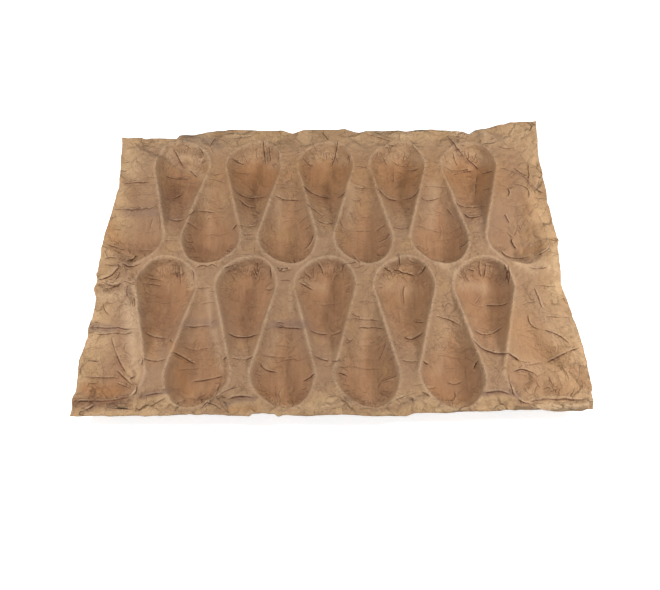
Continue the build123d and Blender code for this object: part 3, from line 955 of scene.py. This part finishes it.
for _ in range(loose_creases):
    middle = np.array((random.uniform(sheet_left, right), random.uniform(front, back)))
    turn, reach = random.uniform(0, math.pi), random.uniform(3, 9)
    half = reach * np.array((math.cos(turn), 0.6 * math.sin(turn)))
    bow = random.uniform(-1.5, 1.5, 2)
    line = curve_through((middle - half, middle + bow, middle + half))
    press_crease(random.uniform(0.06, 0.32), line, x, y)
print("sheet marked by creases:", round(float((crease_strength > 0.05).mean()), 2))

# %% [markdown]
# ## Pressing the soft folds and placing the patches
# A soft fold is a low rounded ridge or valley along its line, and the paper along it is painted
# greyer and darker, partly painted shade in the fold. Patches of painted highlight, painted shade and
# warmer tone have no height: each is a mark on the sheet's corners that tells the material what to
# mix in.
# stain has no height: it is a mark on the sheet's corners that tells the material what to mix in.

# %% Soft folds
grey_and_shade = np.zeros_like(x)
for rise, half_width, grey_and_shade_strength, *pixels in soft_folds:
    gap, _ = from_line(seen_curve(pixels), seen_x, seen_y)
    lift += rise * np.exp(-((gap / half_width) ** 2))
    grey_and_shade = np.maximum(grey_and_shade, grey_and_shade_strength * np.exp(-((gap / (1.1 * half_width)) ** 4)))
height = np.maximum(height + lift, sheet_thickness)
print("tallest lift, mm:", round(float(lift.max()), 2))

# %% Patches
patch_shares = {}
for name, patches in (("pale", painted_highlight_patches), ("brown", brown_shade_patches), ("warm", warm_patches)):
    marked = np.zeros_like(x)
    for strength, half_width, *pixels in patches:
        gap, _ = from_line(seen_curve(pixels), seen_x, seen_y)
        marked = np.maximum(marked, strength * np.exp(-(((gap + 0.8 * wander) / half_width) ** 2)))
    patch_shares[name + "_share"] = marked
    print(name, "patches:", len(patches))

# %% [markdown]
# ## Raised corner and rolled lip
# The back right corner is bent up about a slanting line. Along the right half of the front edge
# the paper is rolled over and down, so the tray shows a rounded lip there, made brighter with a
# painted highlight.

# %% Raised corner
corner_fold = math.radians(20)
corner_softness = 6
fold_start = np.array((left + 0.860 * (right - left), back))
fold_end = np.array((right, back - 0.130 * (back - front)))
fold_way = (fold_end - fold_start) / np.hypot(*(fold_end - fold_start))
beyond = (x - fold_start[0]) * -fold_way[1] + (y - fold_start[1]) * fold_way[0]
slow_start = corner_softness * np.exp(np.clip(beyond, -40, corner_softness) / corner_softness - 1)
soft_beyond = np.where(beyond > corner_softness, beyond, slow_start)
height += math.tan(corner_fold) * np.where(beyond > -30, soft_beyond, 0)
print("highest point, mm:", round(float(height.max()), 1))

# %% Rolled lip
lip_radius = 3.2
lip_drop = 2.0
lip_start_share, lip_end_share = 0.840, 0.985
lip_give = 26
wrapped = lip_radius * math.pi / 2 + lip_drop
taken = wrapped - lip_radius
edge_y = y[0:1, :]
inward = y - edge_y
past = np.clip(wrapped - inward, 0, None)
turn = np.clip(past / lip_radius, 0, math.pi / 2)
drop = lip_radius * (1 - np.cos(turn)) + np.clip(past - lip_radius * math.pi / 2, 0, None)
drawn_in = y - taken * (1 - ramp(inward, wrapped, lip_give))
rolled_y = np.where(past > 0, edge_y + lip_radius * (1 - np.sin(turn)), drawn_in)
x_share = (x - left) / (right - left)
held = ramp(x_share, lip_start_share - 0.02, lip_start_share + 0.02)
held *= 1 - ramp(x_share, lip_end_share - 0.01, lip_end_share + 0.01)
y = y + held * (rolled_y - y)
height = height - held * drop
print("lip drops, mm:", round(float((held * drop).max()), 1))

# %% [markdown]
# ## Giving the sheet its place and thickness
# The grid's corners take the places worked out above, and the marks for the material are stored
# on them. A solidify modifier then adds the underside. Nobody sees the underside closely, so a
# decimate modifier thins its faces and leaves the top as it is.

# %% Sheet into shape
points = np.stack((x, y, height), axis=-1).reshape(-1, 3) * MM
sheet.data.vertices.foreach_set("co", points.ravel())
marks = {
    "margin_share": loose,
    "bead_wear_and_highlight_share": bead,
    "shade_share": shade,
    # Painted shade in the pressed cups, weaker toward the cut sides
    "cup_shade_share": pressed * (0.4 + 0.6 * ramp(from_left, 10, 60)) * (0.2 + 0.8 * ramp(from_right, 25, 80)),
    "crease_side": crease_side,
    "crease_strength": crease_strength,
    "grey_and_shade_share": grey_and_shade,
    "floor_share": ramp(pressed, 0.45, 0.85),
    **patch_shares,
}
for name, values in marks.items():
    attribute = sheet.data.attributes.new(name, "FLOAT", "POINT")
    attribute.data.foreach_set("value", np.ascontiguousarray(values.ravel(), dtype=np.float32))
sheet.data.update()
print("marks on the sheet:", len(marks))


# %% Thickness, and a simpler underside
def apply_modifier(name):
    """A modifier made part of the mesh."""
    bpy.ops.object.modifier_apply(modifier=name)
    print("triangles after", name + ":", sum(len(face.vertices) - 2 for face in sheet.data.polygons))


bpy.context.view_layer.objects.active = sheet
sheet.vertex_groups.new(name="underside")
solidify = sheet.modifiers.new("thickness", "SOLIDIFY")
solidify.thickness = sheet_thickness * MM
solidify.offset = -1
solidify.shell_vertex_group = "underside"
apply_modifier("thickness")

keep_share = 0.66
decimate = sheet.modifiers.new("thinning", "DECIMATE")
decimate.ratio = keep_share
decimate.vertex_group = "underside"
decimate.vertex_group_factor = 10
apply_modifier("thinning")
sheet.vertex_groups.clear()
bpy.ops.object.shade_smooth()

# %% [markdown]
# ## Kraft paper
# The tray is unbleached, unglazed kraft paper: matt, dry and fibrous, so it gives the eye no
# glint at all, only soft light and shade. Paper isn't a metal, its fibres bend light about as
# glass does (the shader's own IOR of 1.5), and 0.82 is the roughness of an uncoated sheet. The
# material is built as two lists. One holds colour layers, each with where it shows, how much of
# it there is at most, and its colour. The other holds small heights in mm for the bump.

# %% Material
paper = bpy.data.materials.new("kraft_paper")
paper.use_nodes = True
tree = paper.node_tree
tree.nodes.clear()
times, plus, less = ({"operation": name} for name in ("MULTIPLY", "ADD", "SUBTRACT"))
smooth = {"interpolation_type": "SMOOTHSTEP"}
layers = []
heights = []
here = {name: add_node(tree, "Attribute", {"attribute_name": name}).outputs["Fac"] for name in marks}
place_on_sheet = add_node(tree, "TexCoord").outputs["Object"]
print("marks read by the material:", len(here))

# %% [markdown]
# Real paper is uneven at every size, from broad changes of tone to single fibres. Each cloud of
# random noise stands for one of them. Its size is that of the real lumps in millimetres. Fibres
# are thinner than 0.1 mm, which no pixel shows, so they are drawn at 0.9 mm.

# %% Clouds
# Name, size in mm, detail, roughness, distortion, and how far it is drawn out from front to back
clouds = {}
for name, size_mm, detail, roughness, distortion, stretch in (
    ("tone", 60, 3.0, 0.55, 0.0, 1),
    ("brown", 24, 4.0, 0.55, 0.0, 1),
    ("yellow", 19, 3.0, 0.55, 0.0, 1),
    ("streaks", 3.5, 2.0, 0.55, 0.0, 12),
    ("speckle", 1.6, 4.0, 0.70, 0.0, 1),
    ("line wiggle", 2.2, 2.0, 0.55, 0.0, 1),
    ("line width", 2.6, 2.0, 0.55, 0.0, 1),
    ("line breaks", 6.0, 2.0, 0.55, 0.0, 1),
    ("warp", 9.0, 3.0, 0.50, 0.0, 1),
    ("calm", 35, 2.0, 0.55, 0.0, 1),
    ("wide lines", 16, 2.5, 0.50, 1.2, 1),
    ("small lines", 7.0, 2.5, 0.50, 1.2, 1),
    ("lumps", 4.0, 5.0, 0.65, 0.0, 1),
    ("fibre", 0.9, 3.0, 0.60, 0.0, 1),
):
    squeezed = add_node(tree, "VectorMath", times, (place_on_sheet, (1, 1 / stretch, 1)))
    inputs = {"Vector": squeezed, "Scale": 1 / (size_mm * MM), "Detail": detail}
    inputs.update({"Roughness": roughness, "Distortion": distortion})
    clouds[name] = add_node(tree, "TexNoise", inputs=inputs)
print("clouds:", len(clouds))

# %% [markdown]
# The paper's colour changes over the tray. The margins are yellower, and the pressed cups are
# painted redder and darker: painted shade in the hollows, reddened as light bounces between the
# walls. The beads round the bowls are painted pale, partly worn paper and partly painted highlight,
# and the soft folds are painted greyer, partly painted shade. Pressing drew the fibres along the
# cups, which leaves faint streaks there.

# %% Paper colours
base_brown, base_tan = "#98765A", "#A07D5C"
base_share = add_node(tree, "MapRange", smooth, (clouds["tone"], 0.35, 0.65))
cup_shade = add_node(tree, "MapRange", smooth, (here["cup_shade_share"], 0.05, 0.7))
brown_cloud = add_node(tree, "MapRange", smooth, (clouds["brown"], 0.50, 0.70))
yellow_cloud = add_node(tree, "MapRange", smooth, (clouds["yellow"], 0.52, 0.72))
speckle = add_node(tree, "MapRange", smooth, (clouds["speckle"], 0.3, 0.7))
streaks = add_node(tree, "MapRange", smooth, (clouds["streaks"], 0.3, 0.7, -1.0, 1.0))
pale_streaks = add_node(tree, "MapRange", smooth, (streaks, 0.0, 1.0))
dark_streaks = add_node(tree, "MapRange", smooth, (streaks, -1.0, 0.0, 1.0, 0.0))
layers += [
    (here["margin_share"], 0.55, "#CAA679"),
    # Painted shade in the cups, reddened as by light bounced between the walls
    (cup_shade, 0.7, "#A57650"),
    # Painted highlight on the beads round the bowls, with worn paper
    (here["bead_wear_and_highlight_share"], 0.5, "#C4A484"),
    # Painted shade just inside each bowl's rim
    (here["shade_share"], 0.22, "#7E5A3E"),
    (brown_cloud, 0.35, "#96704E"),
    (yellow_cloud, 0.35, "#B48D5E"),
    # Painted shade: darker brown patches in hollows and folds
    (here["brown_share"], 0.5, "#7C5238"),
    (here["warm_share"], 0.5, "#B27A40"),
    # Painted highlight where walls and the lip face the light
    (here["pale_share"], 0.45, "#D0B08C"),
    # Greyer and darker along the soft folds, partly painted shade
    (here["grey_and_shade_share"], 0.65, "#84695A"),
    (add_node(tree, "Math", times, (pale_streaks, here["cup_shade_share"])), 0.11, "#CFAF88"),
    (add_node(tree, "Math", times, (dark_streaks, here["cup_shade_share"])), 0.11, "#745238"),
    (speckle, 0.22, "#866648"),
]
print("colour layers:", len(layers))

# %% [markdown]
# A crease in kraft paper is painted as three lines side by side: a thin dark one, dirt and painted
# shade where the paper folds in, a pale shoulder, which is a painted highlight where the lap meets
# the light, and a soft dark foot, which is painted shade below the lap. Each runs at its own
# distance from the crease, wavers a little, and is stronger where the crease is.

# %% Crease lines
off_middle = add_node(tree, "Math", less, (clouds["line wiggle"], 0.5))
wavy_side = add_node(tree, "Math", {"operation": "MULTIPLY_ADD"}, (off_middle, 0.8, here["crease_side"]))
line_width = add_node(tree, "MapRange", smooth, (clouds["line width"], 0.3, 0.7, 0.14, 0.32))
widening = (here["crease_strength"], 0.28, line_width)
line_width = add_node(tree, "Math", {"operation": "MULTIPLY_ADD"}, widening)
unbroken = add_node(tree, "MapRange", smooth, (clouds["line breaks"], 0.36, 0.54, 0.5, 1.0))

# Distance to the left and half width in mm, the strengths between which it comes in, how unbroken
# it is, its share at most, and its colour
for offset, half_width, weak, strong, whole, most, hex_colour in (
    # Pale shoulder: painted highlight on the lap
    (1.2, 0.6, 0.05, 0.8, 1.0, 0.38, "#CDAE8E"),
    # Dark foot: painted shade below the lap
    (-0.7, 0.9, 0.05, 0.8, 1.0, 0.30, "#7A5236"),
    # Thin dark line: dirt and painted shade in the fold
    (0.0, line_width, 0.02, 0.60, unbroken, 0.98, "#52290F"),
):
    away = add_node(tree, "Math", less, (wavy_side, offset))
    steps = add_node(tree, "Math", {"operation": "DIVIDE"}, (away, half_width))
    squared = add_node(tree, "Math", times, (steps, steps))
    fall = add_node(tree, "Math", times, (squared, -1.0))
    line = add_node(tree, "Math", {"operation": "EXPONENT"}, (fall,))
    by_strength = add_node(tree, "MapRange", smooth, (here["crease_strength"], weak, strong))
    share = add_node(tree, "Math", times, (line, by_strength))
    layers.append((add_node(tree, "Math", times, (share, whole)), most, hex_colour))
lap_rise = add_node(tree, "MapRange", smooth, (here["crease_side"], -0.5, 0.5))
lap_fall = add_node(tree, "MapRange", smooth, (here["crease_side"], 0.3, 2.6, 1.0, 0.0))
lap = add_node(tree, "Math", times, (lap_rise, lap_fall))
heights.append((add_node(tree, "Math", times, (lap, here["crease_strength"])), 1.0))
print("colour layers:", len(layers))

# %% [markdown]
# Paper that was crumpled keeps flat facets that tilt this way and that, with fine ridges between
# them. A Voronoi texture gives such cells. Each is tilted by its own random colour, and so one
# catches more light than the next. The same colour also paints the facets on the open margins
# paler or darker: painted light and shade. Pressing smoothed the cups' floors, so they show less of it.

# %% Paper relief
floor_calm = add_node(tree, "MapRange", smooth, (here["floor_share"], 0.0, 1.0, 1.0, 0.45))
cloud_calm = add_node(tree, "MapRange", smooth, (clouds["calm"], 0.40, 0.62, 0.25, 1.0))
calm = add_node(tree, "Math", times, (cloud_calm, floor_calm))
warp_reach = 8
shifted = {0: clouds["warp"].outputs["Color"], "Scale": warp_reach * MM}
offset = add_node(tree, "VectorMath", {"operation": "SCALE"}, shifted)
warped = add_node(tree, "VectorMath", plus, (place_on_sheet, offset))
to_edge = {"feature": "DISTANCE_TO_EDGE"}
cells = add_node(tree, "TexVoronoi", to_edge, {"Vector": warped, "Scale": 1 / (7 * MM)})
pyramids = add_node(tree, "Math", times, (cells.outputs["Distance"], floor_calm))
heights += [(pyramids, 1.6), (clouds["lumps"], 0.35), (clouds["fibre"], 0.15), (streaks, 0.10)]

# Facets: their size in mm, how steeply they tilt, and how much painted light and shade makes them paler or
# darker at most
on_open = add_node(tree, "Math", {"operation": "MULTIPLY_ADD"}, (here["margin_share"], 0.8, 0.2))
for size_mm, slope, facet_light_share in ((18, 0.20, 0.18), (6, 0.08, 0.07)):
    inputs = {"Vector": warped, "Scale": 1 / (size_mm * MM)}
    cells = add_node(tree, "TexVoronoi", inputs=inputs)
    edge = add_node(tree, "TexVoronoi", to_edge, inputs).outputs["Distance"]
    from_middle = add_node(tree, "VectorMath", less, (warped, cells.outputs["Position"]))
    tilt = add_node(tree, "VectorMath", less, (cells.outputs["Color"], (0.5, 0.5, 0.5)))
    rise = add_node(tree, "VectorMath", {"operation": "DOT_PRODUCT"}, (from_middle, tilt))
    rise_mm = add_node(tree, "Math", times, (rise, 2 / MM))
    inside = add_node(tree, "MapRange", smooth, (edge, 0.0, 0.12))
    facet = add_node(tree, "Math", times, (rise_mm, inside))
    heights.append((add_node(tree, "Math", times, (facet, on_open)), slope))
    # Painted light and shade: each facet's random colour makes it paler or darker, as if lit or shaded
    tone = cells.outputs["Color"]
    for low, high, to_low, to_high, hex_colour in (
        (0.50, 0.75, 0.0, 1.0, "#CFAF88"),
        (0.25, 0.50, 1.0, 0.0, "#745238"),
    ):
        share = add_node(tree, "MapRange", smooth, (tone, low, high, to_low, to_high))
        layers.append((add_node(tree, "Math", times, (share, on_open)), facet_light_share, hex_colour))
    # A darker line along each facet's edge: painted shade in the fold between facets
    edge_line = add_node(tree, "MapRange", smooth, (edge, 0.0, 0.45 / size_mm, 1.0, 0.0))
    layers.append((add_node(tree, "Math", times, (edge_line, calm)), 0.08, "#6A4830"))

# Thin wandering grooves, where a cloud passes its middle value, darkened with painted shade: half width,
# depth in mm, darkness
for name, half_width, depth, darkness in (
    ("wide lines", 0.022, 0.32, 0.22),
    ("small lines", 0.030, 0.16, 0.12),
):
    off_middle = add_node(tree, "Math", less, (clouds[name], 0.5))
    off_middle = add_node(tree, "Math", {"operation": "ABSOLUTE"}, (off_middle,))
    line = add_node(tree, "MapRange", smooth, (off_middle, 0.0, half_width, 1.0, 0.0))
    line = add_node(tree, "Math", times, (line, calm))
    heights.append((line, -depth))
    # Painted shade in the groove
    layers.append((line, darkness, "#6E4C36"))
print("heights:", len(heights))

# %% [markdown]
# ## Both lists put together
# Each colour layer is mixed over the ones before it, as a painter glazes, and the heights are
# added up for the bump.

# %% Finished material
colours = {0: base_share, 6: linear(base_brown), 7: linear(base_tan)}
colour = add_node(tree, "Mix", {"data_type": "RGBA"}, colours)
for share, most, hex_colour in layers:
    part = add_node(tree, "Math", times, (share, most))
    colours = {0: part, 6: colour, 7: linear(hex_colour)}
    colour = add_node(tree, "Mix", {"data_type": "RGBA"}, colours)
relief = 0.0
for rise, weight in heights:
    relief = add_node(tree, "Math", {"operation": "MULTIPLY_ADD"}, (rise, weight, relief))
bump = add_node(tree, "Bump", inputs={"Height": relief, "Distance": 1 * MM, "Strength": 1.0})
inputs = {"Base Color": colour, "Roughness": 0.82, "Normal": bump}
shader = add_node(tree, "BsdfPrincipled", inputs=inputs)
add_node(tree, "OutputMaterial", inputs={"Surface": shader})
sheet.data.materials.append(paper)
print("paper nodes:", len(tree.nodes))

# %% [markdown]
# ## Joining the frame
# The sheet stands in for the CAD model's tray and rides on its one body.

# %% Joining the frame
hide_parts("fruit_tray")
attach(sheet, "root")
